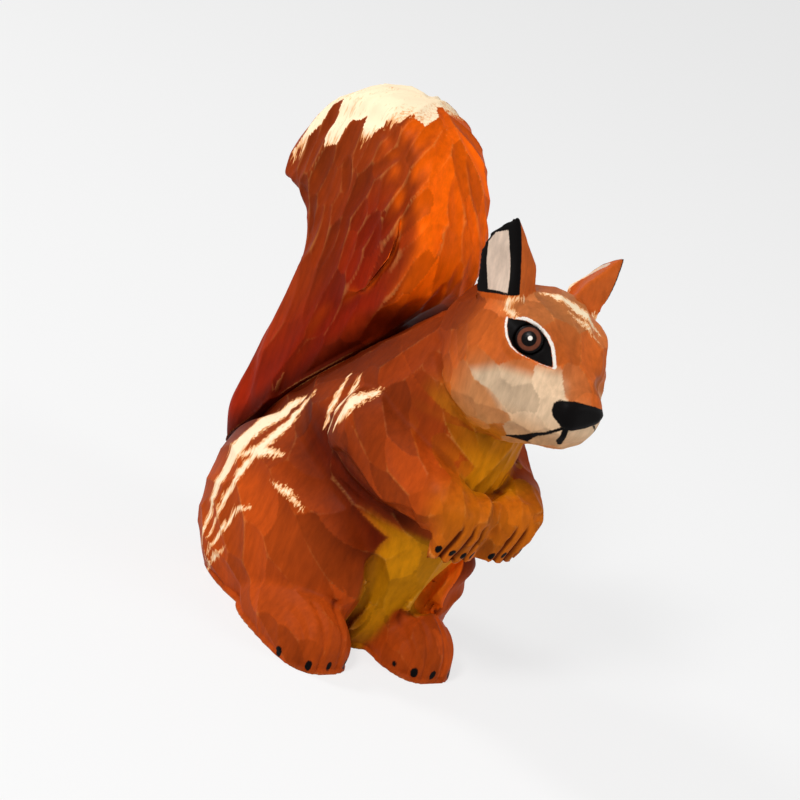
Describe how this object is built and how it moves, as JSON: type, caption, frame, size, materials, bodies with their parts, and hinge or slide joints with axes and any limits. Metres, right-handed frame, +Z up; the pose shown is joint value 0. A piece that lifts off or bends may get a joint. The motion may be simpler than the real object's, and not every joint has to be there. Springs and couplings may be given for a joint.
{
  "type": "squirrel figurine",
  "caption": "Hand-carved and painted wooden squirrel ornament sitting up, paws held to the chest and a tall tail against its back; stands on a flat base.",
  "frame": {"origin": "on the floor at the middle of the figure's footprint box, under the trunk", "axes": "+Z up, -Y the way the squirrel faces, +X its left side"},
  "size_m": [0.0985, 0.1924, 0.211],
  "materials": {
    "body_paint": "satin brush-painted russet brown over gouge-cut wood",
    "tail_paint": "satin brush-painted red-orange over gouge-cut wood",
    "eye": "high gloss dark brown and black",
    "dowel_wood": "plain unpainted hardwood"
  },
  "bodies": {
    "root": {"trunk": "body_paint", "head": "body_paint", "tail": "tail_paint", "right_haunch": "body_paint", "left_haunch": "body_paint", "right_foot": "body_paint", "left_foot": "body_paint", "right_arm": "body_paint", "left_arm": "body_paint", "right_ear": "body_paint", "left_ear": "body_paint", "right_eye": "eye", "left_eye": "eye", "neck_dowel": "dowel_wood", "tail_dowels": "dowel_wood", "haunch_dowels": "dowel_wood", "foot_dowels": "dowel_wood", "arm_dowels": "dowel_wood", "ear_dowels": "dowel_wood"}
  },
  "joints": []
}
